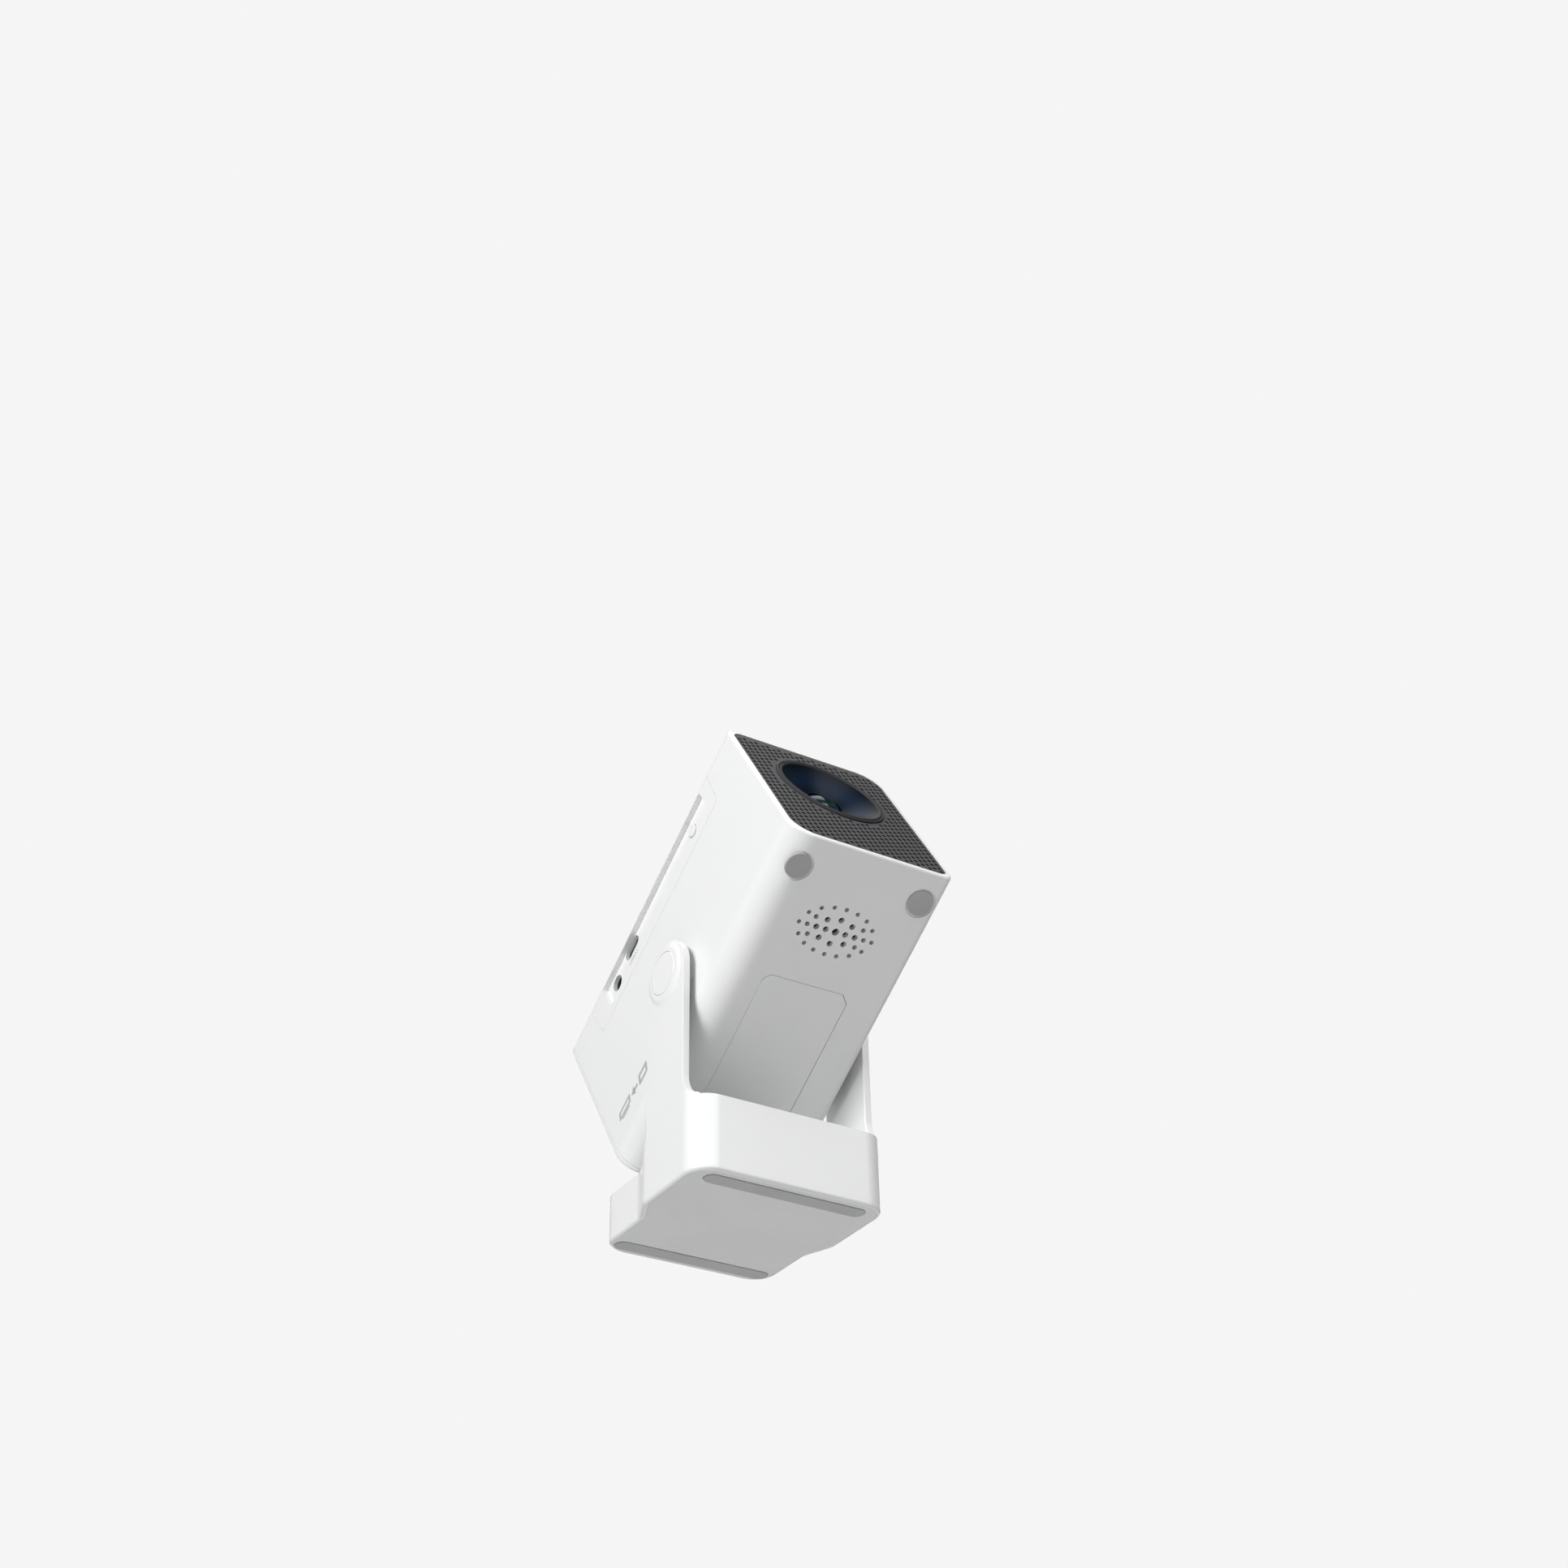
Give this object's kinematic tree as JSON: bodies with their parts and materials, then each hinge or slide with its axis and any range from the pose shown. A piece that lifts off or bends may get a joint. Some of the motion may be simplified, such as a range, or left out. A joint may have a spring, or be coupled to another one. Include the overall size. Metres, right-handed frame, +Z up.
{
  "type": "home projector",
  "caption": "Small home projector: a white box head with a perforated front and dished lens, tilting between the arms of a square yoke stand",
  "frame": {"origin": "on the table under the middle of the square base, at the underside of the rubber strips", "axes": "+Z up, the lens side faces -Y, +X to the right seen from the front; the head is stored with its lens 33 degrees above level"},
  "size_m": [0.086, 0.1756, 0.1835],
  "materials": {
    "white_shell": "satin white ABS",
    "grey_plate": "matte light grey plate",
    "soft_rubber": "soft grey rubber",
    "foot_rubber": "moulded grey rubber",
    "grille_black": "fine matte dark grey",
    "mesh_black": "fine dark cloth",
    "lens_surround": "glossy near-black",
    "inner_black": "matte black",
    "zinc_steel": "zinc plated",
    "spring_steel": "bright steel",
    "bare_aluminium": "plain extruded aluminium",
    "board_green": "solder mask",
    "clear_glass": "clear",
    "dark_glass": "polarised dark panel",
    "coated_glass": "green and blue anti-reflection coating",
    "gear_nylon": "natural nylon"
  },
  "bodies": {
    "stand": {"stand_yoke": "white_shell", "base_plate": "grey_plate", "front_foot_strip": "soft_rubber", "rear_foot_strip": "soft_rubber", "ballast_weight": "zinc_steel", "base_plate_screws": "zinc_steel", "left_pivot_cap": "white_shell", "right_pivot_cap": "white_shell"},
    "head": {"main_housing": "white_shell", "front_grille": "grille_black", "dust_mesh": "mesh_black", "lens_hood_ring": "lens_surround", "port_panel": "white_shell", "rear_cover": "white_shell", "bottom_access_cover": "white_shell", "left_front_foot": "foot_rubber", "right_front_foot": "foot_rubber", "usb_c_receptacle": "zinc_steel", "dc_jack": "inner_black", "port_board": "board_green", "power_switch": "inner_black", "video_receptacle": "zinc_steel", "main_board": "board_green", "speaker_driver": "inner_black", "optical_tunnel": "inner_black", "led_module": "bare_aluminium", "condenser_lens": "clear_glass", "collimating_fresnel": "clear_glass", "lcd_panel": "dark_glass", "field_fresnel": "clear_glass", "led_heatsink": "bare_aluminium", "fan_frame": "inner_black", "lens_mount": "inner_black", "focus_motor": "zinc_steel", "left_pivot_hub": "zinc_steel", "right_pivot_hub": "zinc_steel", "left_pivot_screw": "spring_steel", "right_pivot_screw": "spring_steel", "left_friction_washer": "spring_steel", "right_friction_washer": "spring_steel", "rear_cover_screws": "spring_steel", "engine_screws": "spring_steel"},
    "button": {"power_button": "white_shell"},
    "fan": {"fan_rotor": "inner_black"},
    "ring": {"focus_ring": "gear_nylon"},
    "pinion": {"focus_pinion": "gear_nylon"},
    "cell": {"lens_cell": "lens_surround", "front_lens_element": "coated_glass", "rear_lens_element": "clear_glass"}
  },
  "joints": [
    {"name": "head_tilt", "type": "hinge", "parent": "stand", "child": "head", "pos_m": [0, -0.0176, 0.0892], "axis": [-1, 0, 0], "range_deg": [-71, 9]},
    {"name": "power_button_press", "type": "slide", "parent": "head", "child": "button", "axis": [1, 0, 0], "range_m": [0, 0.0004], "stiffness_N_per_m": 400, "springref_m": -0.001},
    {"name": "fan_spin", "type": "hinge", "parent": "head", "child": "fan", "pos_m": [0, 0.04885, 0.07586], "axis": [0, -0.8387, 0.5446], "continuous": true},
    {"name": "lens_cell_slide", "type": "slide", "parent": "head", "child": "cell", "axis": [0, -0.8387, 0.5446], "range_m": [-0.0015, 0.0015]},
    {"name": "focus_ring_turn", "type": "hinge", "parent": "head", "child": "ring", "pos_m": [0, -0.04005, 0.13359], "axis": [0, -0.8387, 0.5446], "range_deg": [-60.1, 60.1]},
    {"name": "focus_pinion_turn", "type": "hinge", "parent": "head", "child": "pinion", "pos_m": [-0.02495, -0.04005, 0.13359], "axis": [0, -0.8387, 0.5446], "range_deg": [-251, 251]}
  ],
  "couplings": [
    {"joint": "focus_ring_turn", "follows": "lens_cell_slide", "rad_per_m": 698},
    {"joint": "focus_pinion_turn", "follows": "lens_cell_slide", "rad_per_m": -2908.3}
  ]
}
